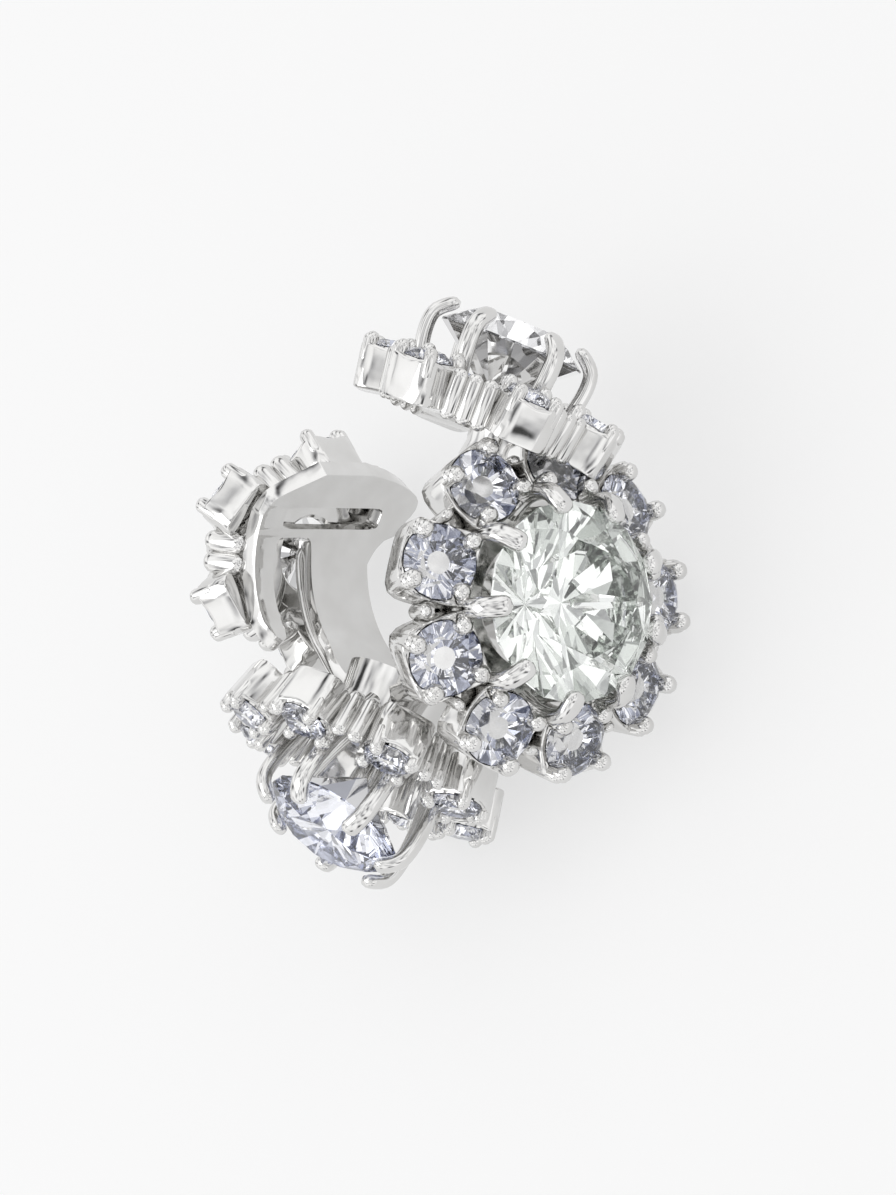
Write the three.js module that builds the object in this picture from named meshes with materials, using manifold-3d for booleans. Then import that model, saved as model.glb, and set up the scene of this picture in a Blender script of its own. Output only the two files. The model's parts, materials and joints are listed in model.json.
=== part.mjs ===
// An ear cuff: an open ring band with four gem clusters soldered round it.
// Millimetres. The ring is modelled about its own axis (local Z) and then laid on its side on the ground,
// resting on three low points, with +Z up and the origin under the middle of its box.
import * as THREE from "three";
import { mergeVertices } from "three/addons/utils/BufferGeometryUtils.js";
import Module from "manifold-3d";

const wasm = await Module();
wasm.setup();

// ---- Driving dimensions ------------------------------------------------------------------------------

const BAND_INNER_RADIUS = 5.5;
const BAND_THICKNESS = 0.7;
const BAND_END_ANGLE = 416; // the round part of the band stops here and a straight arm goes on
const ARM_LENGTH = 0.3;
const BAND_STEP_DEGREES = 6;

const STONE_GAP = 0.06; // clearance between a stone and the metal round it
const STONE_CROWN = 0.16; // stone proportions, as parts of the stone's diameter
const STONE_PAVILION = 0.4;
const STONE_GIRDLE = 0.03;
const STONE_TABLE = 0.56;
const SMALL_STONE_SIDES = 8;
const LARGE_STONE_SIDES = 16;

const COLLET_RIM = -0.06; // a collet's rim, from the girdle of the stone in it
const PRONG_HOOK = 0.45; // how far a prong's tip reaches in over the stone
const PRONG_RISE = 0.85; // and how far it stands above the girdle

// How the cuff lies, in degrees: spun about its own axis, then tipped about the ground's Y and X, until
// the main cluster, the end plate's corner and the lower cluster touch the ground.
const LIE_SPIN = -75.65;
const LIE_TILT_Y = -13.92;
const LIE_TILT_X = -7.29;

// The band from its free end, round the ear, to the arm. Angles in degrees about the ring's axis;
// back and front are the two edges along that axis. The first rows are the flared end plate.
const BAND_SECTIONS = [
  { angle: 129, back: -0.9, front: 1.7 },
  { angle: 134, back: -2.6, front: 2.2 },
  { angle: 140, back: -3.8, front: 3.0 },
  { angle: 143, back: -4.2, front: 3.4 },
  { angle: 146, back: -4.42, front: 3.7 },
  { angle: 150, back: -4.45, front: 3.85 },
  { angle: 154, back: -4.3, front: 4.0 },
  { angle: 158, back: -3.98, front: 4.0 },
  { angle: 163, back: -3.45, front: 4.0 },
  { angle: 171, back: -2.7, front: 4.0 },
  { angle: 178, back: -2.3, front: 4.0 },
  { angle: 206, back: -2.3, front: 4.0 },
  { angle: 214, back: -2.3, front: 3.7 },
  { angle: 219, back: -2.3, front: 1.2 },
  { angle: 247, back: -2.3, front: 1.5 },
  { angle: 270, back: -2.3, front: 2.0 },
  { angle: 298, back: -2.3, front: 2.3 },
  { angle: 380, back: -2.3, front: 1.6 },
  { angle: 398, back: -2.3, front: 0.4 },
  { angle: 412, back: -2.3, front: -0.4 },
  { angle: 470, back: -2.3, front: -0.7 },
];

// Openings cut through the end plate: a cross slot, and a long window open towards the band.
const PLATE_SLOT = { from: 149.5, to: 161, back: -2.6, front: 2.75, corner: 0.45 };
const PLATE_WINDOW = { from: 165, to: 226, back: 0.85, front: 3.0, corner: 0.7 };

// Each cluster: where its halo's middle is (angle and reach about the ring's axis, rise along it), which
// way it faces, its halo of small stones in square collets, and its large stone in a claw basket.
const CLUSTERS = [
  {
    name: "main", angle: -10.4, reach: 7.93, rise: 0.13, facing: 2.5, tilt: 7.7, bend: 0,
    halo: { radius: 5.5, count: 9, start: 32.3, left_out: [], stone: 3.0, collet: 3.3, height: 1.8, lean: 20 },
    large: { stone: 8.0, height: 1.54, aside: 0, nod: 0, prongs: 9, prong_start: 52.3, prong: 0.4, foot: -1.6 },
    base: { outer: 4.5, bottom: -1.75, top: -0.95 }, pedestal: null, ridges: 1, beads: true, colour: 0xe6efe8,
  },
  {
    name: "upper", angle: 56.3, reach: 8.51, rise: 0, facing: 75, tilt: -16, bend: 0,
    halo: { radius: 4.35, count: 6, start: 33, left_out: [], stone: 2.0, collet: 2.5, height: 1.8, lean: 10 },
    large: { stone: 5.9, height: 1.86, aside: 0, nod: 0, prongs: 6, prong_start: 45, prong: 0.36, foot: -1.6 },
    base: { outer: 4.1, bottom: -1.75, top: -1.3 }, ridges: 3, beads: false, colour: 0xe8e8ea,
    pedestal: { radius: 1.5, height: 1.3, back: 0.9, along: -0.7 },
  },
  {
    name: "lower", angle: -96, reach: 8.155, rise: 2.13, facing: -99.5, tilt: 27.9, bend: 0,
    halo: { radius: 4.93, count: 8, start: -11.3, left_out: [], stone: 2.1, collet: 2.5, height: 1.8, lean: 15 },
    large: { stone: 5.9, height: 2.55, aside: 0.7, nod: 12, prongs: 7, prong_start: 29, prong: 0.36, foot: -2.0 },
    base: { outer: 4.1, bottom: -1.75, top: -1.3 }, ridges: 2, beads: false, colour: 0xdfe3f4,
    pedestal: { radius: 2.2, height: 2.4, back: 0, along: 0 },
  },
  {
    name: "rear", angle: 174.4, reach: 7.23, rise: 0, facing: 174.4, tilt: 0, bend: 7.2,
    halo: { radius: 4.3, count: 6, start: 60, left_out: [4], stone: 2.2, collet: 2.7, height: 1.5, lean: 12 },
    large: { stone: 5.0, height: 1.1, aside: 0, nod: 0, prongs: 6, prong_start: 90, prong: 0.36, foot: -1.3 },
    base: { outer: 3.1, bottom: -1.42, top: -0.93 }, pedestal: null, ridges: 2, beads: false, colour: 0xe8e8ea,
  },
];

const METAL = { color: 0xd4d4d2, roughness: 0.12, metalness: 1 };

// ---- Solids ------------------------------------------------------------------------------------------

const radians = THREE.MathUtils.degToRad;
const lerp = THREE.MathUtils.lerp;

function solidOf(geometry, matrix = new THREE.Matrix4()) {
  const bare = geometry.clone();
  bare.deleteAttribute("normal");
  bare.deleteAttribute("uv");
  bare.applyMatrix4(matrix);
  const merged = mergeVertices(bare, 1e-5);
  return new wasm.Manifold(
    new wasm.Mesh({
      numProp: 3,
      vertProperties: new Float32Array(merged.attributes.position.array),
      triVerts: new Uint32Array(merged.index.array),
    }),
  );
}

function geometryOf(solid) {
  const mesh = solid.getMesh();
  const geometry = new THREE.BufferGeometry();
  geometry.setAttribute("position", new THREE.BufferAttribute(new Float32Array(mesh.vertProperties), 3));
  geometry.setIndex(new THREE.BufferAttribute(new Uint32Array(mesh.triVerts), 1));
  return geometry;
}

function joined(solids) {
  return wasm.Manifold.union(solids);
}

// ---- Places on a cluster -----------------------------------------------------------------------------

// The cluster's own frame: Z outwards, Y round the ring, X towards its back.
function clusterMatrix(cluster) {
  const place = new THREE.Matrix4().makeRotationZ(radians(cluster.angle));
  const middle = new THREE.Vector3(cluster.reach, 0, cluster.rise).applyMatrix4(place);
  const frame = new THREE.Matrix4().makeRotationZ(radians(cluster.facing));
  frame.multiply(new THREE.Matrix4().makeRotationY(Math.PI / 2 - radians(cluster.tilt)));
  return frame.setPosition(middle);
}

// The frame of a seat at a radius and angle on a cluster: Z along the seat's axis, X outwards from the
// cluster's middle. A halo that follows the band is bent about the ring's axis.
function seatMatrix(cluster, radius, angle, lean) {
  const turn = radians(angle + 90);
  const seat = new THREE.Matrix4();
  if (cluster.bend > 0) {
    const wrap = (radius * Math.sin(turn)) / cluster.bend;
    seat.makeTranslation(0, 0, -cluster.bend);
    seat.multiply(new THREE.Matrix4().makeRotationX(-wrap));
    seat.multiply(new THREE.Matrix4().makeTranslation(radius * Math.cos(turn), 0, cluster.bend));
    seat.multiply(new THREE.Matrix4().makeRotationZ(turn));
  } else {
    seat.makeRotationZ(turn);
    seat.multiply(new THREE.Matrix4().makeTranslation(radius, 0, 0));
  }
  seat.multiply(new THREE.Matrix4().makeRotationY(radians(lean)));
  return clusterMatrix(cluster).multiply(seat);
}

function haloAngles(halo) {
  return Array.from({ length: halo.count }, (_, index) => halo.start + (index * 360) / halo.count);
}

// The frame of the large stone's basket, which may stand aside from the halo's middle and nod forwards.
function basketMatrix(cluster) {
  const basket = new THREE.Matrix4().makeRotationY(radians(-cluster.large.nod));
  return clusterMatrix(cluster).multiply(basket.setPosition(0, cluster.large.aside, 0));
}

function largeStoneMatrix(cluster) {
  return basketMatrix(cluster).multiply(new THREE.Matrix4().makeTranslation(0, 0, cluster.large.height));
}

// ---- Stones ------------------------------------------------------------------------------------------

// A round brilliant about its own Z, girdle at zero height, grown by a gap when it is used as a cutter.
function stoneGeometry(diameter, sides, gap = 0) {
  const radius = diameter / 2 + gap;
  const girdle = (diameter * STONE_GIRDLE) / 2;
  const crown = diameter * STONE_CROWN + gap;
  const profile = [
    new THREE.Vector2(0, -diameter * STONE_PAVILION - gap),
    new THREE.Vector2(radius, -girdle),
    new THREE.Vector2(radius, girdle),
    new THREE.Vector2((diameter * STONE_TABLE) / 2 + gap, crown),
    new THREE.Vector2(0, crown),
  ];
  return new THREE.LatheGeometry(profile, sides).rotateX(Math.PI / 2).rotateZ(Math.PI / sides);
}

// ---- Metal -------------------------------------------------------------------------------------------

// A square outline with its corners cut off.
function cutSquare(side, corner) {
  const half = side / 2;
  const flat = half - corner;
  const shape = new THREE.Shape();
  shape.moveTo(half, -flat);
  for (const [x, y] of [[1, 1], [-1, 1], [-1, -1], [1, -1]]) {
    const along = x * y > 0;
    shape.lineTo(along ? x * half : x * flat, along ? y * flat : y * half);
    shape.lineTo(along ? x * flat : x * half, along ? y * half : y * flat);
  }
  return shape;
}

// A square collet, its rim just under the girdle, with a bead claw on each corner of the larger ones.
function colletSolids(cluster, angle) {
  const { radius, collet, height, lean } = cluster.halo;
  const place = seatMatrix(cluster, radius, angle, lean);
  const wall = new THREE.ExtrudeGeometry(cutSquare(collet, collet * 0.17), {
    depth: height,
    bevelEnabled: false,
  }).translate(0, 0, COLLET_RIM - height);
  const solids = [solidOf(wall, place)];
  if (!cluster.beads) return solids;
  const reach = collet * 0.4;
  const bead = collet * 0.12;
  for (const [x, y] of [[1, 1], [-1, 1], [-1, -1], [1, -1]]) {
    const claw = new THREE.OctahedronGeometry(bead, 0).translate(x * reach, y * reach, bead * 0.6);
    solids.push(solidOf(claw, place));
  }
  return solids;
}

// A fluted block of upright ridges that fills the space between two collets.
function connectorSolid(cluster, angle) {
  const { radius, count, collet, height, lean } = cluster.halo;
  const chord = 2 * radius * Math.sin(Math.PI / count);
  const width = chord - collet * 0.9;
  const ridge = width / cluster.ridges / 2;
  const depth = collet * 0.22;
  const shape = new THREE.Shape();
  shape.moveTo(-depth, -width / 2);
  for (let index = 0; index < cluster.ridges; index += 1) {
    const middle = -width / 2 + ridge * (2 * index + 1);
    shape.absellipse(depth, middle, ridge * 0.7, ridge, -Math.PI / 2, Math.PI / 2, false);
  }
  shape.lineTo(-depth, width / 2);
  shape.closePath();
  const block = new THREE.ExtrudeGeometry(shape, {
    depth: height * 0.85,
    bevelEnabled: false,
    curveSegments: 1,
  }).translate(0, 0, COLLET_RIM - height);
  const inset = radius * Math.cos(Math.PI / count);
  return solidOf(block, seatMatrix(cluster, inset, angle, lean));
}

// A claw from the base up past the girdle, hooked in over the large stone's crown.
function prongSolid(cluster, angle) {
  const { stone, height, prong, foot } = cluster.large;
  const girdle = stone / 2;
  const path = new THREE.CatmullRomCurve3([
    new THREE.Vector3(girdle * 0.85, 0, foot),
    new THREE.Vector3(girdle + prong * 0.7, 0, lerp(foot, height, 0.5)),
    new THREE.Vector3(girdle + prong + STONE_GAP, 0, height),
    new THREE.Vector3(girdle - PRONG_HOOK, 0, height + PRONG_RISE),
  ]);
  const section = new THREE.Shape();
  section.absarc(0, 0, prong, 0, Math.PI * 2);
  const claw = new THREE.ExtrudeGeometry(section, { steps: 4, curveSegments: 3, extrudePath: path });
  const turned = new THREE.Matrix4().makeRotationZ(radians(angle + 90));
  return solidOf(claw, basketMatrix(cluster).multiply(turned));
}

// The flat ring that carries a cluster's collets and prongs.
function baseSolid(cluster) {
  const { outer, bottom, top } = cluster.base;
  const inner = cluster.large.stone * 0.3;
  const profile = [
    new THREE.Vector2(inner, bottom),
    new THREE.Vector2(outer, bottom),
    new THREE.Vector2(outer, top),
    new THREE.Vector2(inner, top),
    new THREE.Vector2(inner, bottom),
  ];
  return solidOf(new THREE.LatheGeometry(profile, 16).rotateX(Math.PI / 2), clusterMatrix(cluster));
}

// A short round foot from the base ring down to the band, kept clear of the ear opening.
function pedestalSolid(cluster) {
  const top = -cluster.halo.height + 0.2;
  const { radius, height, back, along } = cluster.pedestal;
  const post = new THREE.CylinderGeometry(radius, radius, height, 20)
    .rotateX(Math.PI / 2)
    .translate(back, along, top - height / 2);
  const opening = new THREE.CylinderGeometry(BAND_INNER_RADIUS + 0.1, BAND_INNER_RADIUS + 0.1, 12, 48).rotateX(
    Math.PI / 2,
  );
  return solidOf(post, clusterMatrix(cluster)).subtract(solidOf(opening));
}

function bandEdges(angle) {
  const next = BAND_SECTIONS.findIndex((row) => row.angle >= angle);
  const after = BAND_SECTIONS[Math.max(next, 1)];
  const before = BAND_SECTIONS[Math.max(next, 1) - 1];
  const share = (angle - before.angle) / (after.angle - before.angle);
  return { back: lerp(before.back, after.back, share), front: lerp(before.front, after.front, share) };
}

// A point on the band: round the ring as far as its end angle, then straight on along the arm.
function bandPoint(angle, radius, rise) {
  const round = Math.min(angle, BAND_END_ANGLE);
  const straight = Math.max(angle - BAND_END_ANGLE, 0);
  const turn = radians(round);
  const along = radians(straight) * BAND_INNER_RADIUS;
  return new THREE.Vector3(
    radius * Math.cos(turn) - along * Math.sin(turn),
    radius * Math.sin(turn) + along * Math.cos(turn),
    rise,
  );
}

function bandSolid() {
  const start = BAND_SECTIONS[0].angle;
  const end = BAND_END_ANGLE + THREE.MathUtils.radToDeg(ARM_LENGTH / BAND_INNER_RADIUS);
  const steps = Math.round((end - start) / BAND_STEP_DEGREES);
  const strip = new THREE.BoxGeometry(1, 1, 1, steps, 1, 1);
  const position = strip.attributes.position;
  for (let index = 0; index < position.count; index += 1) {
    const angle = lerp(start, end, position.getX(index) + 0.5);
    const { back, front } = bandEdges(angle);
    const radius = BAND_INNER_RADIUS + BAND_THICKNESS * (0.5 - position.getY(index));
    const point = bandPoint(angle, radius, lerp(front, back, 0.5 - position.getZ(index)));
    position.setXYZ(index, point.x, point.y, point.z);
  }
  return solidOf(strip);
}

// A cutter through the band's wall: a rounded rectangle in angle and rise, run out along the radius.
function windowSolid({ from, to, back, front, corner }) {
  const middle = radians((from + to) / 2);
  const half = radians((to - from) / 2) * BAND_INNER_RADIUS;
  const shape = new THREE.Shape();
  shape.absarc(half - corner, front - corner, corner, 0, Math.PI / 2);
  shape.absarc(-half + corner, front - corner, corner, Math.PI / 2, Math.PI);
  shape.absarc(-half + corner, back + corner, corner, Math.PI, Math.PI * 1.5);
  shape.absarc(half - corner, back + corner, corner, Math.PI * 1.5, Math.PI * 2);
  const depth = 4;
  const block = new THREE.ExtrudeGeometry(shape, { depth, bevelEnabled: false, curveSegments: 4 });
  // Shape X becomes the arc round the ring, shape Y the rise, and the depth the radius.
  const position = block.attributes.position;
  for (let index = 0; index < position.count; index += 1) {
    const angle = middle + position.getX(index) / BAND_INNER_RADIUS;
    const radius = BAND_INNER_RADIUS - depth / 2 + position.getZ(index);
    position.setXYZ(index, radius * Math.cos(angle), radius * Math.sin(angle), position.getY(index));
  }
  return solidOf(block);
}

function frameSolid() {
  const parts = [bandSolid().subtract(windowSolid(PLATE_SLOT)).subtract(windowSolid(PLATE_WINDOW))];
  const stones = [];
  for (const cluster of CLUSTERS) {
    const { halo, large } = cluster;
    haloAngles(halo).forEach((angle, index) => {
      if (halo.left_out.includes(index)) return;
      parts.push(...colletSolids(cluster, angle));
      if (!halo.left_out.includes((index + 1) % halo.count)) {
        parts.push(connectorSolid(cluster, angle + 180 / halo.count));
      }
      const seat = seatMatrix(cluster, halo.radius, angle, halo.lean);
      stones.push(solidOf(stoneGeometry(halo.stone, SMALL_STONE_SIDES, STONE_GAP), seat));
    });
    for (let index = 0; index < large.prongs; index += 1) {
      parts.push(prongSolid(cluster, large.prong_start + (index * 360) / large.prongs));
    }
    parts.push(baseSolid(cluster));
    if (cluster.pedestal) parts.push(pedestalSolid(cluster));
    stones.push(solidOf(stoneGeometry(large.stone, LARGE_STONE_SIDES, STONE_GAP), largeStoneMatrix(cluster)));
  }
  return joined(parts).subtract(joined(stones));
}

// ---- The assembled cuff ------------------------------------------------------------------------------

function stoneMesh(name, diameter, sides, colour, matrix) {
  const material = new THREE.MeshStandardMaterial({ color: colour, roughness: 0.03, metalness: 0 });
  const mesh = new THREE.Mesh(stoneGeometry(diameter, sides), material);
  mesh.name = name;
  mesh.applyMatrix4(matrix);
  return mesh;
}

const cuff = new THREE.Group();
const frame = new THREE.Mesh(geometryOf(frameSolid()), new THREE.MeshStandardMaterial(METAL));
frame.name = "cuff_frame";
cuff.add(frame);

for (const cluster of CLUSTERS) {
  const { name, halo, large, colour } = cluster;
  cuff.add(stoneMesh(`${name}_stone`, large.stone, LARGE_STONE_SIDES, colour, largeStoneMatrix(cluster)));
  haloAngles(halo).forEach((angle, index) => {
    if (halo.left_out.includes(index)) return;
    const seat = seatMatrix(cluster, halo.radius, angle, halo.lean);
    cuff.add(stoneMesh(`${name}_halo_stone_${index + 1}`, halo.stone, SMALL_STONE_SIDES, 0xe9edf8, seat));
  });
}

cuff.rotation.set(radians(LIE_TILT_X), radians(LIE_TILT_Y), radians(LIE_SPIN), "XYZ");
const lying = new THREE.Group();
lying.add(cuff);
lying.updateMatrixWorld(true);
const box = new THREE.Box3().setFromObject(lying, true);
const middle = box.getCenter(new THREE.Vector3());
lying.position.set(-middle.x, -middle.y, -box.min.z);

export default lying;
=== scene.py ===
# %% [markdown]
# # An ear cuff in bright white metal
# The cuff is an open ring with four gem clusters soldered round it. Each cluster is one large round stone in
# a claw basket, ringed by small stones in square cups. Every solid of the construction model is already in
# place in the frame, so this lesson only has to give each of them its fine surface and its finish.

# %% Load the frame
import json
import math

import bmesh
import bpy
from mathutils import Matrix, Vector


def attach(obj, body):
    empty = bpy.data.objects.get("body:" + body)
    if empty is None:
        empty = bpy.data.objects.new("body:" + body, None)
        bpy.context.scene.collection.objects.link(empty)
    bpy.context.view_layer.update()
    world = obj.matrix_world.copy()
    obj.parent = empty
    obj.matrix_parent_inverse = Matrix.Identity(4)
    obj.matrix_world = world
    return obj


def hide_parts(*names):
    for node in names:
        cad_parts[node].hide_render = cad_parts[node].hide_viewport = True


MM = 0.001

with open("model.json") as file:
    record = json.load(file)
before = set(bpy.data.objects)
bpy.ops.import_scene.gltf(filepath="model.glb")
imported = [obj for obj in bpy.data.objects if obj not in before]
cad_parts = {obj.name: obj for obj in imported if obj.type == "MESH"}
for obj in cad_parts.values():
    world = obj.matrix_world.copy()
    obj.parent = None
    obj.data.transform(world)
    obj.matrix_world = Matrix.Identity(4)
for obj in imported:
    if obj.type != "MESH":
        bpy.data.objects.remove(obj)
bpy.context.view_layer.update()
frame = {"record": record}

# %% [markdown]
# ## The cuff's own frame
# A ring is easiest to build about its own axis, with angles round it. The finished cuff lies tipped over on the
# ground, so everything is made in millimetres about the ring's axis and then carried to its place by one
# matrix. The turns are those of the construction. The ring's middle comes from the frame: a mount on the
# inside of the band faces it squarely, from the middle of one of the construction's flat facets.

# %% Where the ring lies
BAND_INNER_RADIUS = 5.5
BAND_THICKNESS = 0.7
BAND_FACET_HALF_ANGLE = math.radians(3.022)
LIE_SPIN = math.radians(-75.65)
LIE_TILT_Y = math.radians(-13.92)
LIE_TILT_X = math.radians(-7.29)

mounts = {mount["name"]: mount for mount in frame["record"]["mounts"]}
seat_point = Vector(mounts["ear_seat_lower"]["pos_m"])
seat_normal = Vector(mounts["ear_seat_lower"]["axis"])
seat_reach = MM * BAND_INNER_RADIUS * math.cos(BAND_FACET_HALF_ANGLE)
ring_middle = seat_point + seat_normal * seat_reach

LYING = Matrix.Rotation(LIE_TILT_X, 4, "X") @ Matrix.Rotation(LIE_TILT_Y, 4, "Y")
LYING = LYING @ Matrix.Rotation(LIE_SPIN, 4, "Z")
TO_ROW = Matrix.Translation(ring_middle) @ LYING @ Matrix.Scale(MM, 4)
print("ring middle, mm:", [round(value / MM, 2) for value in ring_middle])

# %% [markdown]
# ## The four clusters
# One table holds what the clusters share. The first two lines of each say where the halo's middle is about the
# ring and which way it faces; then come its small stones and their cups, then its large stone and its claws,
# then the metal underneath. Angles are in degrees, lengths in millimetres. A cluster with a bend follows the
# round of the ring instead of lying flat. Its base is an outer radius and two levels, and its pedestal a
# radius, a height and two offsets.

# %% The clusters' sizes
CLUSTERS = [
    {
        "name": "main", "angle": -10.4, "reach": 7.93, "rise": 0.13,
        "facing": 2.5, "tilt": 7.7, "bend": 0,
        "radius": 5.5, "count": 9, "start": 32.3, "bare": [], "lean": 20,
        "stone": 3.0, "cup": 3.3, "depth": 1.8, "ridges": 1,
        "large": 8.0, "height": 1.54, "aside": 0, "nod": 0,
        "claws": 9, "claw_start": 52.3, "claw": 0.4, "foot": -1.6,
        "base": (4.5, -1.75, -0.95), "pedestal": None,
    },
    {
        "name": "upper", "angle": 56.3, "reach": 8.51, "rise": 0,
        "facing": 75, "tilt": -16, "bend": 0,
        "radius": 4.35, "count": 6, "start": 33, "bare": [], "lean": 10,
        "stone": 2.0, "cup": 2.5, "depth": 1.8, "ridges": 3,
        "large": 5.9, "height": 1.86, "aside": 0, "nod": 0,
        "claws": 6, "claw_start": 45, "claw": 0.36, "foot": -1.6,
        "base": (4.1, -1.75, -1.3), "pedestal": (1.5, 1.3, 0.9, -0.7),
    },
    {
        "name": "lower", "angle": -96, "reach": 8.155, "rise": 2.13,
        "facing": -99.5, "tilt": 27.9, "bend": 0,
        "radius": 4.93, "count": 8, "start": -11.3, "bare": [], "lean": 15,
        "stone": 2.1, "cup": 2.5, "depth": 1.8, "ridges": 2,
        "large": 5.9, "height": 2.55, "aside": 0.7, "nod": 12,
        "claws": 7, "claw_start": 29, "claw": 0.36, "foot": -2.0,
        "base": (4.1, -1.75, -1.3), "pedestal": (2.2, 2.4, 0, 0),
    },
    {
        "name": "rear", "angle": 174.4, "reach": 7.23, "rise": 0,
        "facing": 174.4, "tilt": 0, "bend": 7.2,
        "radius": 4.3, "count": 6, "start": 60, "bare": [4], "lean": 12,
        "stone": 2.2, "cup": 2.7, "depth": 1.5, "ridges": 2,
        "large": 5.0, "height": 1.1, "aside": 0, "nod": 0,
        "claws": 6, "claw_start": 90, "claw": 0.36, "foot": -1.3,
        "base": (3.1, -1.42, -0.93), "pedestal": None,
    },
]
print("clusters:", [cluster["name"] for cluster in CLUSTERS])

# %% [markdown]
# ## Places on a cluster
# Three matrices say where a piece goes: the cluster's own frame, the frame of one seat in its halo, and the
# frame of the large stone's basket. With these, every cup, claw and stone can be made once, about its own
# axis, and set in place by multiplying.

# %% Frames of the clusters, seats and baskets
def cluster_matrix(cluster):
    """The cluster's frame: Z outwards, Y round the ring, X towards the ring's back."""
    turn = math.radians(cluster["angle"])
    reach = cluster["reach"]
    middle = Vector((reach * math.cos(turn), reach * math.sin(turn), cluster["rise"]))
    facing = Matrix.Rotation(math.radians(cluster["facing"]), 4, "Z")
    tilt = Matrix.Rotation(math.radians(90 - cluster["tilt"]), 4, "Y")
    return Matrix.Translation(middle) @ facing @ tilt


def seat_matrix(cluster, radius, angle):
    """A seat's frame on a cluster: Z along the seat's own axis, X away from the cluster's middle."""
    turn = math.radians(angle + 90)
    spin = Matrix.Rotation(turn, 4, "Z")
    bend = cluster["bend"]
    if bend:
        wrap = Matrix.Rotation(-radius * math.sin(turn) / bend, 4, "X")
        seat = Matrix.Translation((0, 0, -bend)) @ wrap
        seat = seat @ Matrix.Translation((radius * math.cos(turn), 0, bend)) @ spin
    else:
        seat = spin @ Matrix.Translation((radius, 0, 0))
    lean = Matrix.Rotation(math.radians(cluster["lean"]), 4, "Y")
    return cluster_matrix(cluster) @ seat @ lean


def basket_matrix(cluster):
    """The large stone's basket: it may stand aside from the halo's middle and nod forwards."""
    aside = Matrix.Translation((0, cluster["aside"], 0))
    return cluster_matrix(cluster) @ aside @ Matrix.Rotation(math.radians(-cluster["nod"]), 4, "Y")


def halo_angles(cluster):
    """The number and angle of each halo seat that holds a stone."""
    step = 360 / cluster["count"]
    seats = [index for index in range(cluster["count"]) if index not in cluster["bare"]]
    return [(index + 1, cluster["start"] + index * step) for index in seats]


print("halo seats:", {cluster["name"]: len(halo_angles(cluster)) for cluster in CLUSTERS})

# %% [markdown]
# ## Nodes written as sums
# A material is a small program, and it reads best as one. This class wraps a node's output socket, so that
# ordinary arithmetic on it adds Math nodes. Every other kind of node comes from the one method, node.

# %% Sockets that can be added and multiplied
class Socket:
    """An output of a node, with arithmetic that builds Math nodes."""

    def __init__(self, tree, output=None):
        self.tree = tree
        self.output = output

    def node(self, kind, settings, inputs, output=0):
        """Adds a node, applies its settings, and then sets or links its inputs."""
        made = self.tree.nodes.new(kind)
        for name, value in settings.items():
            if name == "stops":
                set_stops(made.color_ramp, value)
            else:
                setattr(made, name, value)
        for name, value in inputs.items():
            if isinstance(value, Socket):
                self.tree.links.new(value.output, made.inputs[name])
            else:
                made.inputs[name].default_value = value
        return Socket(self.tree, made.outputs[output] if made.outputs else None)

    def _math(self, operation, first, second):
        return self.node("ShaderNodeMath", {"operation": operation}, {0: first, 1: second})

    def __add__(self, other):
        return self._math("ADD", self, other)

    __radd__ = __add__

    def __mul__(self, other):
        return self._math("MULTIPLY", self, other)

    __rmul__ = __mul__


def set_stops(ramp, stops):
    """Gives a colour ramp its stops: pairs of a place and a colour."""
    while len(ramp.elements) < len(stops):
        ramp.elements.new(1)
    for element, (place, colour) in zip(ramp.elements, stops):
        element.position = place
        element.color = (*colour, 1)


def new_material(name):
    """An empty material, and the socket wrapper that builds in its node tree."""
    material = bpy.data.materials.new(name)
    material.use_nodes = True
    material.node_tree.nodes.clear()
    print("material:", name)
    return material, Socket(material.node_tree)


# %% [markdown]
# ## The finish of the metal
# Rhodium plate is a white mirror. Cast pieces are polished by hand, so the mirror is never quite flat: it
# rolls a little over a millimetre or so, and it is slightly softer where the polishing wheel didn't reach.
# A low noise drives a faint bump and a narrow range of roughness and tone.

# %% Polished white plate
ROLLING_SCALE = 700.0
GRAIN_SCALE = 5200.0
SHINE = 0.04


def polished_plate():
    """Bright plate with the faint unevenness of hand polishing."""
    material, tree = new_material("polished_plate")
    place = tree.node("ShaderNodeTexCoord", {}, {}, "Object")
    rolling = tree.node(
        "ShaderNodeTexNoise", {}, {"Vector": place, "Scale": ROLLING_SCALE, "Detail": 2.0}, "Fac"
    )
    grain = tree.node("ShaderNodeTexNoise", {}, {"Vector": place, "Scale": GRAIN_SCALE, "Detail": 3.0}, "Fac")
    roughness = SHINE + grain * SHINE + rolling * SHINE
    height = rolling + grain * 0.015
    bump = tree.node(
        "ShaderNodeBump", {}, {"Height": height, "Strength": 0.18, "Distance": 0.00012}, "Normal"
    )
    tone = tree.node(
        "ShaderNodeValToRGB",
        {"stops": [(0.3, (0.665, 0.66, 0.65)), (0.7, (0.725, 0.722, 0.715))]},
        {"Fac": rolling},
        "Color",
    )
    inputs = {"Base Color": tone, "Metallic": 1.0, "Roughness": roughness, "Normal": bump}
    surface = tree.node("ShaderNodeBsdfPrincipled", {}, inputs, "BSDF")
    tree.node("ShaderNodeOutputMaterial", {}, {"Surface": surface})
    return material


PLATE = polished_plate()

# %% [markdown]
# ## The finish of the stones
# These stones sparkle because light enters the crown, bounces off the lower facets and comes back out of the
# top. The crown is clear glass, and the pavilion under it carries a mirror, as foiled stones do, so that light
# comes back from every side whatever lies behind. In a real stone some pavilion facets send the light astray
# and look darker, which draws a star; here every third facet has a darker mirror instead, which is painted
# shade.

# %% Clear crowns and mirrored pavilions
CROWN_IOR = 1.9


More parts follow.
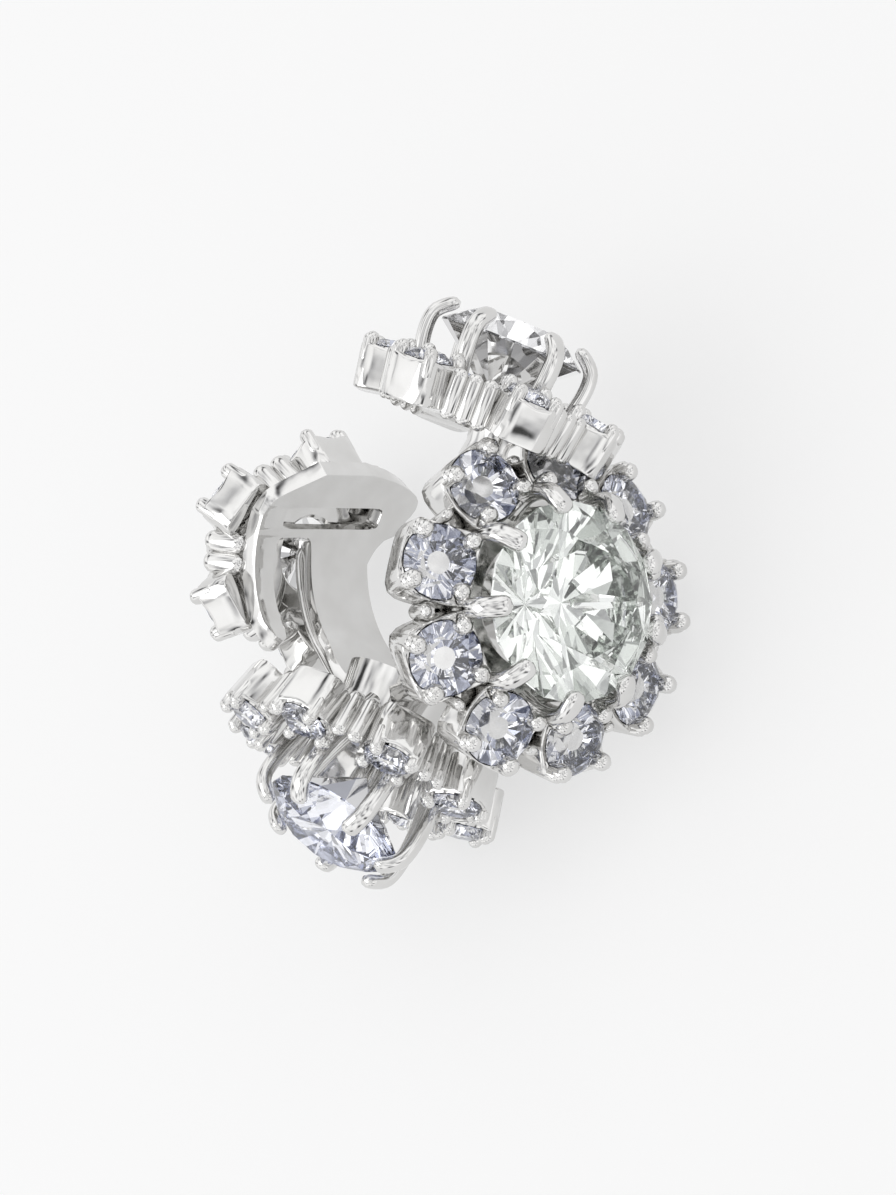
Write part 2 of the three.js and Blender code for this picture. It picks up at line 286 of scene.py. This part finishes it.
def stone_finish(name, inputs):
    """A finish that is the same all over the facet."""
    material, tree = new_material(name)
    surface = tree.node("ShaderNodeBsdfPrincipled", {}, inputs, "BSDF")
    tree.node("ShaderNodeOutputMaterial", {}, {"Surface": surface})
    return material


def crown_glass(name, tint):
    glass = {"Base Color": (*tint, 1), "Roughness": 0.0, "IOR": CROWN_IOR, "Transmission Weight": 1.0}
    return stone_finish(name, glass)


def pavilion_mirror(name, tint):
    return stone_finish(name, {"Base Color": (*tint, 1), "Metallic": 1.0, "Roughness": 0.02})


# Each entry is a crown tint, a bright mirror and a darker mirror. The darker mirror is painted shade that draws
# the star.
NEUTRAL = ((0.995, 0.995, 1.0), (0.97, 0.97, 0.975), (0.6, 0.6, 0.61))
TINTS = {
    "main": ((0.992, 1.0, 0.994), (0.97, 0.98, 0.97), (0.62, 0.64, 0.62)),
    "upper": NEUTRAL,
    "lower": ((0.984, 0.987, 1.0), (0.95, 0.957, 0.99), (0.5, 0.52, 0.6)),
    "rear": NEUTRAL,
    "halo": ((0.99, 0.992, 1.0), (0.97, 0.973, 0.99), (0.4, 0.42, 0.5)),
}
# The third material of each stone is the darker mirror, which is painted shade.
GEMS = {
    name: (
        crown_glass(f"{name}_crown", crown),
        pavilion_mirror(f"{name}_pavilion", bright),
        pavilion_mirror(f"{name}_pavilion_painted_shade", painted_shade),
    )
    for name, (crown, bright, painted_shade) in TINTS.items()
}

# %% [markdown]
# ## Cutting a round brilliant
# The round brilliant has eight-fold symmetry. On top is an octagonal table, ringed by eight triangular stars,
# eight kite-shaped bezels and sixteen narrow girdle facets; below are sixteen lower girdle facets and eight
# long mains that meet at the culet. Only a few radii are free: every height follows from the facets' planes.
# All the lengths here are parts of the stone's radius.

# %% The facets of one brilliant
GEM_TABLE = 0.56
GEM_STAR = 0.77
GEM_LOWER = 0.24
GEM_CROWN = 0.32
GEM_PAVILION = 0.8
GEM_GIRDLE = 0.03
HALF_STEP = math.tau / 16


def wheel(count, radius, height, start=0.0):
    """Points evenly round a circle."""
    angles = [start + index * math.tau / count for index in range(count)]
    return [Vector((radius * math.cos(angle), radius * math.sin(angle), height)) for angle in angles]


def brilliant_points():
    """The corners of the facets, wheel by wheel, and where each wheel starts."""
    star_height = GEM_CROWN * (1 - GEM_STAR * math.cos(HALF_STEP)) / (1 - GEM_TABLE)
    lower_height = -GEM_PAVILION * (1 - GEM_LOWER * math.cos(HALF_STEP))
    wheels = {
        "table": wheel(8, GEM_TABLE, GEM_CROWN),
        "star": wheel(8, GEM_STAR, star_height, HALF_STEP),
        "upper": wheel(16, 1, GEM_GIRDLE / 2),
        "under": wheel(16, 1, -GEM_GIRDLE / 2),
        "lower": wheel(8, GEM_LOWER, lower_height, HALF_STEP),
        "culet": [Vector((0, 0, -GEM_PAVILION))],
    }
    points = []
    first = {}
    for name, corners in wheels.items():
        first[name] = len(points)
        points += corners
    return points, first


def brilliant(radius):
    """Points of a round brilliant, and its crown facets, bright pavilion facets and facets with painted shade.
    """
    points, first = brilliant_points()
    crown, bright, painted_shade = [], [], []
    for index in range(8):
        after = (index + 1) % 8
        before = (index - 1) % 8
        here = first["star"] + index
        near, middle, far = (first["upper"] + (2 * index + step) % 16 for step in range(3))
        crown.append([first["table"] + after, first["table"] + index, here])
        crown.append([first["table"] + index, first["star"] + before, near, here])
        crown += [[here, near, middle], [here, middle, far]]
        near, middle, far = (first["under"] + (2 * index + step) % 16 for step in range(3))
        low = first["lower"] + index
        # One lower girdle facet in each pair takes the darker mirror, which is painted shade.
        painted_shade.append([low, middle, near])
        bright.append([low, far, middle])
        bright.append([first["culet"], low, near, first["lower"] + before])
    crown.append([first["table"] + index for index in range(8)])
    for index in range(16):
        after = (index + 1) % 16
        under, upper = first["under"], first["upper"]
        crown.append([under + index, under + after, upper + after, upper + index])
    return [point * radius for point in points], (crown, bright, painted_shade)


# %% [markdown]
# ## Setting the stones
# Each stone of the construction is a plain low solid.

# %% All the stones
def make_stone(name, diameter, seat, gem):
    """A faceted stone in place of its plain solid."""
    points, facets = brilliant(diameter / 2)
    place = TO_ROW @ seat
    mesh = bpy.data.meshes.new(f"{name}_cut")
    mesh.from_pydata([place @ point for point in points], [], sum(facets, []))
    # The third group of facets takes the darker mirror, which is painted shade.
    which = [number for number, group in enumerate(facets) for _ in group]
    mesh.polygons.foreach_set("material_index", which)
    for material in GEMS[gem]:
        mesh.materials.append(material)
    stone = bpy.data.objects.new(f"{name}_cut", mesh)
    bpy.context.scene.collection.objects.link(stone)
    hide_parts(name)
    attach(stone, "root")
    return stone


def cluster_stones(cluster):
    """A cluster's large stone and its halo."""
    name = cluster["name"]
    seat = basket_matrix(cluster) @ Matrix.Translation((0, 0, cluster["height"]))
    made = [make_stone(f"{name}_stone", cluster["large"], seat, name)]
    for number, angle in halo_angles(cluster):
        seat = seat_matrix(cluster, cluster["radius"], angle)
        made.append(make_stone(f"{name}_halo_stone_{number}", cluster["stone"], seat, "halo"))
    return made


stones = [stone for cluster in CLUSTERS for stone in cluster_stones(cluster)]
print("stones:", len(stones))

# %% [markdown]
# ## Metal shapes from lofted rings
# Cups, claws and ridges are all skins stretched over a stack of rings. The rings are superellipses: one number
# turns a circle into a rounded square, so a square cup can end in a round seat without a seam. A capsule, an
# upright bar with domed ends, is a loft too, and makes the posts, the beads and the ridges.

# %% Rings, lofts and capsules
DOME_ANGLES = [math.radians(angle) for angle in (-75, -50, -25, 0)]


def superellipse(half_width, power, height, half_depth=None, count=32, dip=0.0):
    """A ring of points: power 2 is a circle or oval, higher powers are squarer, and dip lowers mid-sides."""
    half_depth = half_width if half_depth is None else half_depth
    points = []
    for index in range(count):
        angle = index * math.tau / count
        cosine, sine = math.cos(angle), math.sin(angle)
        reach = (abs(cosine) ** power + abs(sine) ** power) ** (-1 / power)
        level = height - dip * (1 + math.cos(4 * angle)) / 2
        points.append(Vector((half_width * reach * cosine, half_depth * reach * sine, level)))
    return points


def skin(metal, lower, upper):
    """Four-sided faces between two rings."""
    count = len(lower)
    for index in range(count):
        after = (index + 1) % count
        metal.faces.new((lower[index], lower[after], upper[after], upper[index]))


def loft(metal, rings, place):
    """Stretches a closed skin over a stack of rings of equal length, and adds it to the metal."""
    rows = [[metal.verts.new(place @ point) for point in ring] for ring in rings]
    for lower, upper in zip(rows, rows[1:]):
        skin(metal, lower, upper)
    metal.faces.new(list(reversed(rows[0])))
    metal.faces.new(rows[-1])


def capsule(metal, radius, bottom, top, place, squash=1.0):
    """An upright round bar with domed ends."""
    levels = [(angle, bottom + radius * math.sin(angle)) for angle in DOME_ANGLES]
    levels += [(angle, top - radius * math.sin(angle)) for angle in reversed(DOME_ANGLES)]
    rings = [superellipse(radius * math.cos(angle), 2, level, count=16) for angle, level in levels]
    loft(metal, rings, place @ Matrix.Diagonal((squash, 1, 1, 1)))


# %% [markdown]
# ## A square cup with four corner claws
# Each small stone sits in a square cup. The rim dips between the corners to show the stone, and at each corner
# a short post ends in a bead that is pressed over the stone's edge. The large cups show their posts all the
# way down.

# %% Cups
CUP_SQUARENESS = 5
LARGE_CUP = 3
BEAD_SHARE = 0.115


def add_cup(metal, cluster, angle):
    """One cup with its four posts and beads."""
    side, depth, girdle = cluster["cup"], cluster["depth"], cluster["stone"] / 2
    place = seat_matrix(cluster, cluster["radius"], angle)
    half = side * 0.475
    scallop = girdle * 0.16
    outline = [
        (half * 0.92, CUP_SQUARENESS, -depth, 0),
        (half * 0.98, CUP_SQUARENESS, -depth + 0.03, 0),
        (half, CUP_SQUARENESS, -depth + 0.12, 0),
        (half, CUP_SQUARENESS, -depth * 0.55, 0),
        (half, CUP_SQUARENESS, -0.12, scallop),
        (half * 0.99, CUP_SQUARENESS, -0.02, scallop),
        (half * 0.955, CUP_SQUARENESS, 0.03, scallop),
        (half * 0.91, 4, 0.0, scallop),
        (girdle * 1.02, 2, -0.04, 0),
        (girdle * 0.98, 2, -0.1, 0),
        (girdle * 0.5, 2, -0.1 - girdle * 0.5, 0),
    ]
    loft(metal, [superellipse(width, power, level, dip=dip) for width, power, level, dip in outline], place)
    bead = side * BEAD_SHARE
    post_reach = half * 0.9 - bead * 0.75
    bead_reach = post_reach - bead * 0.3
    foot, top = (-depth + bead, bead * 1.25) if side > LARGE_CUP else (-0.6, bead * 0.8)
    for x, y in ((1, 1), (-1, 1), (-1, -1), (1, -1)):
        post_place = place @ Matrix.Translation((x * post_reach, y * post_reach, 0))
        capsule(metal, bead * 0.92, foot, bead * 0.6, post_place)
        capsule(metal, bead, -0.1, top, place @ Matrix.Translation((x * bead_reach, y * bead_reach, 0)))


# %% [markdown]
# ## Fluted connectors
# Between two cups the metal is fluted: a few half-round ridges stand side by side. Each is a capsule, squashed
# a little so that the row is flatter than it is wide.

# %% Connectors
def add_connector(metal, cluster, angle):
    """Upright ridges, side by side, that fill the space between two cups."""
    radius, count, side = cluster["radius"], cluster["count"], cluster["cup"]
    width = 2 * radius * math.sin(math.pi / count) - side * 0.96
    place = seat_matrix(cluster, radius * math.cos(math.pi / count), angle)
    ridge = width / cluster["ridges"] / 2
    for index in range(cluster["ridges"]):
        across = -width / 2 + ridge * (2 * index + 1)
        spot = place @ Matrix.Translation((side * 0.2, across, 0))
        capsule(metal, ridge * 1.05, -cluster["depth"] + ridge * 0.6, -0.15, spot, squash=0.75)


# %% [markdown]
# ## Claws
# A claw is a bar that leans out to the girdle and hooks in over the crown. It is swept along a curve: at each
# step an oval ring is set square to the curve, and the last rings shrink to a dome.

# %% Claws
CLAW_HOOK = 0.45
CLAW_RISE = 0.85
CLAW_GAP = 0.06
CLAW_STEPS = 22
CLAW_DOME_START = 0.86


def curve_point(points, share):
    """A point on a smooth curve through the points, and its direction."""
    spans = len(points) - 1
    place = min(share * spans, spans - 1e-6)
    index = int(place)
    t = place - index
    p0 = points[max(index - 1, 0)]
    p1, p2 = points[index], points[index + 1]
    p3 = points[min(index + 2, spans)]
    linear = p2 - p0
    square = 2 * p0 - 5 * p1 + 4 * p2 - p3
    cube = 3 * p1 - p0 - 3 * p2 + p3
    here = 0.5 * (2 * p1 + linear * t + square * t**2 + cube * t**3)
    way = linear + square * 2 * t + cube * 3 * t**2
    return here, way.normalized()


def add_claw(metal, cluster, angle):
    """One claw of the large stone's basket."""
    girdle = cluster["large"] / 2
    height, claw, foot = cluster["height"], cluster["claw"], cluster["foot"]
    path = [
        Vector((girdle * 0.85, 0, foot)),
        Vector((girdle + claw * 0.7, 0, foot + (height - foot) * 0.5)),
        Vector((girdle + claw + CLAW_GAP, 0, height)),
        Vector((girdle - CLAW_HOOK, 0, height + CLAW_RISE)),
    ]
    side = Vector((0, 1, 0))
    rings = []
    for step in range(CLAW_STEPS + 1):
        share = step / CLAW_STEPS
        here, way = curve_point(path, share)
        over = way.cross(side)
        past = max((share - CLAW_DOME_START) / (1 - CLAW_DOME_START), 0)
        dome = math.sqrt(max(1 - past**2, 0.02))
        broad = claw * (0.9 + 0.25 * share) * dome
        thick = claw * (0.9 - 0.1 * share) * dome
        ring = superellipse(broad, 2.4, 0, thick, count=16)
        rings.append([here + side * point.x - over * point.y for point in ring])
    loft(metal, rings, basket_matrix(cluster) @ Matrix.Rotation(math.radians(angle + 90), 4, "Z"))


# %% [markdown]
# ## Base rings and pedestals
# Under each cluster a flat ring ties the claws to the cups, and a short round foot takes the flat clusters down
# to the curved band. Both are plain turned shapes: the ring is a section carried round a circle, with its
# corners taken off.

# %% Turned pieces
AROUND = 64


def add_base(metal, cluster):
    """The flat ring under a cluster."""
    outer, bottom, top = cluster["base"]
    inner = cluster["large"] * 0.3
    edge = (top - bottom) * 0.25
    section = [
        (inner, bottom + edge), (inner + edge, bottom), (outer - edge, bottom), (outer, bottom + edge),
        (outer, top - edge), (outer - edge, top), (inner + edge, top), (inner, top - edge),
    ]
    place = cluster_matrix(cluster)
    rows = []
    for radius, level in section:
        rows.append([metal.verts.new(place @ point) for point in wheel(AROUND, radius, level)])
    for lower, upper in zip(rows, rows[1:] + rows[:1]):
        skin(metal, lower, upper)


def add_pedestal(metal, cluster):
    """A short round foot with a slightly hollow side."""
    radius, height, back, along = cluster["pedestal"]
    top = -cluster["depth"] + 0.2
    section = [(radius, top - height), (radius * 0.93, top - height / 2), (radius, top)]
    rings = [superellipse(wide, 2, level) for wide, level in section]
    loft(metal, rings, cluster_matrix(cluster) @ Matrix.Translation((back, along, 0)))


# %% [markdown]
# ## One setting for each cluster
# The cups, connectors, claws and base of a cluster are soldered into one piece, so they are gathered into one
# mesh. Smooth shading makes the lofts look round, and edges sharper than a set angle stay crisp.

# %% The four settings
CRISP_ANGLE = math.radians(38)


def finish_metal(name, metal, modifiers=()):
    """Turns gathered metal into an object with smooth shading and the plate's finish."""
    bmesh.ops.transform(metal, matrix=TO_ROW, verts=metal.verts)
    bmesh.ops.recalc_face_normals(metal, faces=metal.faces)
    mesh = bpy.data.meshes.new(name)
    metal.to_mesh(mesh)
    metal.free()
    mesh.shade_smooth()
    mesh.set_sharp_from_angle(angle=CRISP_ANGLE)
    mesh.materials.append(PLATE)
    piece = bpy.data.objects.new(name, mesh)
    bpy.context.scene.collection.objects.link(piece)
    for kind, settings in modifiers:
        modifier = piece.modifiers.new(kind.lower(), kind)
        for setting, value in settings.items():
            setattr(modifier, setting, value)
    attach(piece, "root")
    print(name, "faces:", len(mesh.polygons))
    return piece


def cluster_setting(cluster):
    """All the metal of one cluster."""
    metal = bmesh.new()
    count = cluster["count"]
    for number, angle in halo_angles(cluster):
        add_cup(metal, cluster, angle)
        if number % count not in cluster["bare"]:
            add_connector(metal, cluster, angle + 180 / count)
    for index in range(cluster["claws"]):
        add_claw(metal, cluster, cluster["claw_start"] + index * 360 / cluster["claws"])
    add_base(metal, cluster)
    if cluster["pedestal"]:
        add_pedestal(metal, cluster)
    return finish_metal(f"{cluster['name']}_setting", metal)


for cluster in CLUSTERS:
    cluster_setting(cluster)

# %% [markdown]
# ## The band and its end plate
# The band is a flat strip bent into a ring, and its free end flares into a plate with two openings. It is
# drawn as rows of edges against the angle round the ring: a back edge, a front edge, and a seam between them
# that runs along the sheet and opens into the holes, so the sheet needs no cutting.

# %% The band's outline
BAND_START_ANGLE = 129
BAND_END_ANGLE = 416
ARM_LENGTH = 0.3
LOBE_END = 217
LOBE_ROUNDING = 6
PLATE_ROWS = [
    {"angle": 129, "back": -0.9, "front": 1.7},
    {"angle": 134, "back": -2.6, "front": 2.2},
    {"angle": 140, "back": -3.8, "front": 3.0},
    {"angle": 143, "back": -4.2, "front": 3.4},
    {"angle": 146, "back": -4.42, "front": 3.7},
    {"angle": 150, "back": -4.45, "front": 3.85},
    {"angle": 154, "back": -4.3, "front": 4.0},
    {"angle": 158, "back": -3.98, "front": 4.0},
    {"angle": 163, "back": -3.45, "front": 4.0},
    {"angle": 171, "back": -2.7, "front": 4.0},
    {"angle": 178, "back": -2.3, "front": 4.0},
    {"angle": 206, "back": -2.3, "front": 4.0},
    {"angle": 214, "back": -2.3, "front": 3.7},
]
STRIP_ROWS = [
    {"angle": 165, "front": 0.85},
    {"angle": 219, "front": 0.85},
    {"angle": 247, "front": 1.5},
    {"angle": 270, "front": 2.0},
    {"angle": 298, "front": 2.3},
    {"angle": 380, "front": 1.6},
    {"angle": 398, "front": 0.4},
    {"angle": 412, "front": -0.4},
    {"angle": 470, "front": -0.7},
]
SLOT = {"from": 149.5, "to": 161, "back": -2.6, "front": 2.75}
WINDOW = {"from": 165, "to": 2 * LOBE_END - 165, "back": 0.85, "front": 3.0}


def between(rows, value, angle):
    """Straight interpolation in a table of rows."""
    for before, after in zip(rows, rows[1:]):
        if angle <= after["angle"]:
            share = (angle - before["angle"]) / (after["angle"] - before["angle"])
            return before[value] + (after[value] - before[value]) * max(share, 0)
    return rows[-1][value]


def hole_middle(hole):
    return (hole["front"] + hole["back"]) / 2


def hole_edges(hole, angle):
    """How far back and front a hole reaches at an angle, with rounded corners."""
    middle = (hole["from"] + hole["to"]) / 2
    across = min(abs(angle - middle) / ((hole["to"] - hole["from"]) / 2), 1)
    half = (hole["front"] - hole["back"]) / 2 * (1 - across**8) ** 0.125
    return hole_middle(hole) - half, hole_middle(hole) + half


def band_edges(angle):
    """The back edge, the two sides of the seam, and the front edge, at an angle."""
    back = between(PLATE_ROWS, "back", angle)
    front = between(PLATE_ROWS, "front", angle)
    if SLOT["from"] < angle < SLOT["to"]:
        return back, *hole_edges(SLOT, angle), front
    if WINDOW["from"] < angle <= LOBE_END:
        low, high = hole_edges(WINDOW, angle)
        rounding = max((angle - (LOBE_END - LOBE_ROUNDING)) / LOBE_ROUNDING, 0)
        tip = (front - high) / 2 * (1 - math.sqrt(max(1 - rounding**2, 0)))
        return back, low, high + tip, front - tip
    if angle > LOBE_END:
        seam = between(STRIP_ROWS, "front", angle)
        return back, seam, seam, front
    share = min(max((angle - SLOT["to"]) / (WINDOW["from"] - SLOT["to"]), 0), 1)
    seam = hole_middle(SLOT) + (hole_middle(WINDOW) - hole_middle(SLOT)) * share
    return back, seam, seam, front


print("plate width at the slot, mm:", round(band_edges(150)[3] - band_edges(150)[0], 2))

# %% [markdown]
# ## Rolling the band up
# Stations crowd together where the outline turns fast, at the ends of the slot and the window. At each one the
# four edge points go straight to their place on the rolled ring. Modifiers then thicken the sheet outwards and
# round its edges.

# %% The band
STRIP_STEPS = 80


def spread(first, last, count):
    """Values from first to last that crowd towards both ends."""
    shares = [(1 - math.cos(math.pi * index / count)) / 2 for index in range(count + 1)]
    return [first + (last - first) * share for share in shares]


def band_angles():
    """The angles of the stations along the band."""
    arm_end = BAND_END_ANGLE + math.degrees(ARM_LENGTH / BAND_INNER_RADIUS)
    angles = spread(BAND_START_ANGLE, SLOT["from"], 10) + spread(SLOT["from"], SLOT["to"], 16)[1:]
    angles += [(SLOT["to"] + WINDOW["from"]) / 2] + spread(WINDOW["from"], LOBE_END, 24)
    return angles + [LOBE_END + (arm_end - LOBE_END) * (step + 1) / STRIP_STEPS for step in range(STRIP_STEPS)]


def band_point(angle, radius, rise):
    """A point round the ring as far as the end angle, then straight on along a short lip."""
    round_angle = math.radians(min(angle, BAND_END_ANGLE))
    along = math.radians(max(angle - BAND_END_ANGLE, 0)) * BAND_INNER_RADIUS
    x = radius * math.cos(round_angle) - along * math.sin(round_angle)
    y = radius * math.sin(round_angle) + along * math.cos(round_angle)
    return Vector((x, y, rise))


def band_piece():
    """The band and its end plate as one sheet, thickened and rounded."""
    metal = bmesh.new()
    rows = []
    for angle in band_angles():
        points = [band_point(angle, BAND_INNER_RADIUS, rise) for rise in band_edges(angle)]
        rows.append((angle, [metal.verts.new(point) for point in points]))
    for (_, here), (angle, after) in zip(rows, rows[1:]):
        metal.faces.new((here[0], after[0], after[1], here[1]))
        if angle <= LOBE_END:
            metal.faces.new((here[2], after[2], after[3], here[3]))
    bmesh.ops.remove_doubles(metal, verts=metal.verts, dist=1e-4)
    bmesh.ops.delete(metal, geom=[vert for vert in metal.verts if not vert.link_faces], context="VERTS")
    thicken = {"thickness": BAND_THICKNESS * MM, "offset": -1.0, "use_even_offset": True}
    rounded = {"width": 0.09 * MM, "segments": 3, "limit_method": "ANGLE", "angle_limit": math.radians(40)}
    steps = [("SOLIDIFY", thicken), ("BEVEL", rounded), ("WEIGHTED_NORMAL", {"keep_sharp": True})]
    return finish_metal("band_and_end_plate", metal, steps)


band = band_piece()
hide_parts("cuff_frame")

# %% [markdown]
# ## The strip's raised edge
# Beside the window the strip has a raised edge, folded over at its top into a small tab. A round bar laid
# through a few stations on the inside of the band gives it; a thinner one stiffens the lobe across the window.

# %% The raised edge
BAR_STEPS = 80
BAR_DOME = 0.015
TAB_AND_EDGE = [
    (186, -0.05), (176, 0.0), (171.5, 0.3), (171.5, 0.7), (176, 0.95),
    (190, 0.9), (205, 0.9), (219, 0.9), (240, 1.25), (262, 1.7),
]
LOBE_EDGE = [(168, 3.15), (180, 3.2), (195, 3.2), (208, 3.2)]


def add_bar(metal, stations, thickness):
    """A round bar laid on the inside of the band through stations of angle and rise."""
    radius = BAND_INNER_RADIUS - thickness * 0.35
    points = [band_point(angle, radius, rise) for angle, rise in stations]
    rings = []
    for step in range(BAR_STEPS):
        share = step / (BAR_STEPS - 1)
        here, way = curve_point(points, share)
        outwards = Vector((here.x, here.y, 0)).normalized()
        across = way.cross(outwards).normalized()
        past = max(abs(share - 0.5) - (0.5 - BAR_DOME), 0) / BAR_DOME
        dome = math.sqrt(max(1 - past**2, 0.03))
        ring = superellipse(thickness * dome, 2, 0, count=12)
        rings.append([here + across * point.x + outwards * point.y for point in ring])
    loft(metal, rings, Matrix.Identity(4))


edge_metal = bmesh.new()
add_bar(edge_metal, TAB_AND_EDGE, 0.14)
add_bar(edge_metal, LOBE_EDGE, 0.1)
finish_metal("strip_edge", edge_metal)

# %% [markdown]
# ## The floor
# The cuff lies on a pale sheet. Part of the sheet's light is its own glow, as on a light table, so the shade
# under the cuff stays soft.

# %% The pale sheet
SHEET_HALF = 0.6


def pale_sheet():
    """A square sheet with a faint tooth."""
    material, tree = new_material("pale_sheet")
    place = tree.node("ShaderNodeTexCoord", {}, {}, "Object")
    tooth = tree.node("ShaderNodeTexNoise", {}, {"Vector": place, "Scale": 900.0, "Detail": 3.0}, "Fac")
    bump = tree.node("ShaderNodeBump", {}, {"Height": tooth, "Strength": 0.02, "Distance": 0.0001}, "Normal")
    inputs = {"Base Color": (0.3, 0.3, 0.3, 1), "Roughness": 0.9, "Specular IOR Level": 0.1, "Normal": bump}
    inputs.update({"Emission Color": (1, 1, 1, 1), "Emission Strength": 0.6})
    surface = tree.node("ShaderNodeBsdfPrincipled", {}, inputs, "BSDF")
    tree.node("ShaderNodeOutputMaterial", {}, {"Surface": surface})
    mesh = bpy.data.meshes.new("floor")
    corners = [(x * SHEET_HALF, y * SHEET_HALF, 0) for x, y in ((-1, -1), (1, -1), (1, 1), (-1, 1))]
    mesh.from_pydata(corners, [], [(0, 1, 2, 3)])
    mesh.materials.append(material)
    floor = bpy.data.objects.new("floor", mesh)
    bpy.context.scene.collection.objects.link(floor)
    print("sheet, mm:", 2 * SHEET_HALF / MM)


pale_sheet()

# %% [markdown]
# ## The camera
# A long lens keeps the shapes true. It looks at the ring 45 degrees off its axis, with the camera turned so
# that the ring stands upright in the view, a little up and left of the middle. The lens follows from the
# distance and the height of the field that should fill the view.

# %% The camera
CAMERA_DISTANCE = 0.3
FIELD_HEIGHT = 0.0478
SENSOR = 36
ASIDE = 0.00152
BELOW = 0.00118


def add_camera():
    """Places the camera in the ring's own directions."""
    sight = LYING.to_3x3()
    right = sight @ Vector((1, 0, -1)).normalized()
    up = sight @ Vector((0, 1, 0))
    back = sight @ Vector((1, 0, 1)).normalized()
    data = bpy.data.cameras.new("camera")
    data.sensor_width = SENSOR
    data.lens = SENSOR * CAMERA_DISTANCE / FIELD_HEIGHT
    data.clip_start = 0.01
    camera = bpy.data.objects.new("camera", data)
    place = Matrix.Translation(ring_middle + back * CAMERA_DISTANCE + right * ASIDE - up * BELOW)
    camera.matrix_world = place @ Matrix((right, up, back)).transposed().to_4x4()
    bpy.context.scene.collection.objects.link(camera)
    bpy.context.scene.camera = camera
    print("camera above the floor, degrees:", round(math.degrees(math.asin(back.z)), 1))


add_camera()

# %% [markdown]
# ## The light
# Bright metal shows only what it reflects. The world is plain to the eye, but what the metal and the stones
# reflect is mostly white with a few darker stretches that draw the edges. One soft square light adds a gentle
# direction. Stones need many bounces: light that is given up inside them leaves black facets.

# %% The studio
LIGHT_BOUNCES = 24
PANEL_STOPS = [
    (0.33, (0.04, 0.04, 0.04)), (0.41, (0.5, 0.5, 0.51)), (0.5, (0.85, 0.85, 0.85)), (0.6, (1, 1, 1)),
]


def studio_world():
    """Plain and pale to the eye, with bright panels and dark gaps in what the metal and stones reflect."""
    world = bpy.data.worlds.new("studio")
    bpy.context.scene.world = world
    world.use_nodes = True
    world.node_tree.nodes.clear()
    tree = Socket(world.node_tree)
    place = tree.node("ShaderNodeTexCoord", {}, {}, "Generated")
    shifted = tree.node("ShaderNodeMapping", {}, {"Vector": place, "Location": (0.7, 0.25, 0.4)}, "Vector")
    patches = tree.node("ShaderNodeTexNoise", {}, {"Vector": shifted, "Scale": 2.6, "Detail": 1.5}, "Fac")
    tone = tree.node("ShaderNodeValToRGB", {"stops": PANEL_STOPS}, {"Fac": patches}, "Color")
    panels = tree.node("ShaderNodeBackground", {}, {"Color": tone, "Strength": 1.3}, "Background")
    backdrop = tree.node("ShaderNodeBackground", {}, {"Color": (0.92, 0.92, 0.92, 1)}, "Background")
    eye = tree.node("ShaderNodeLightPath", {}, {}, "Is Camera Ray")
    light = tree.node("ShaderNodeMixShader", {}, {0: eye, 1: panels, 2: backdrop}, "Shader")
    tree.node("ShaderNodeOutputWorld", {}, {"Surface": light})


def soft_light(name, direction, distance, size, power):
    """A square soft light that looks at the ring."""
    data = bpy.data.lights.new(name, "AREA")
    data.shape = "SQUARE"
    data.size = size
    data.energy = power
    lamp = bpy.data.objects.new(name, data)
    lamp.location = ring_middle + direction.normalized() * distance
    lamp.rotation_mode = "QUATERNION"
    lamp.rotation_quaternion = direction.to_track_quat("Z", "Y")
    bpy.context.scene.collection.objects.link(lamp)
    print("light:", name, "at", [round(value, 3) for value in lamp.location])


studio_world()
soft_light("key", Vector((-0.6, 0.5, 1.2)), distance=0.25, size=0.16, power=0.12)
bpy.context.scene.view_settings.view_transform = "Standard"
for kind in ("max_bounces", "glossy_bounces", "transmission_bounces"):
    setattr(bpy.context.scene.cycles, kind, LIGHT_BOUNCES)
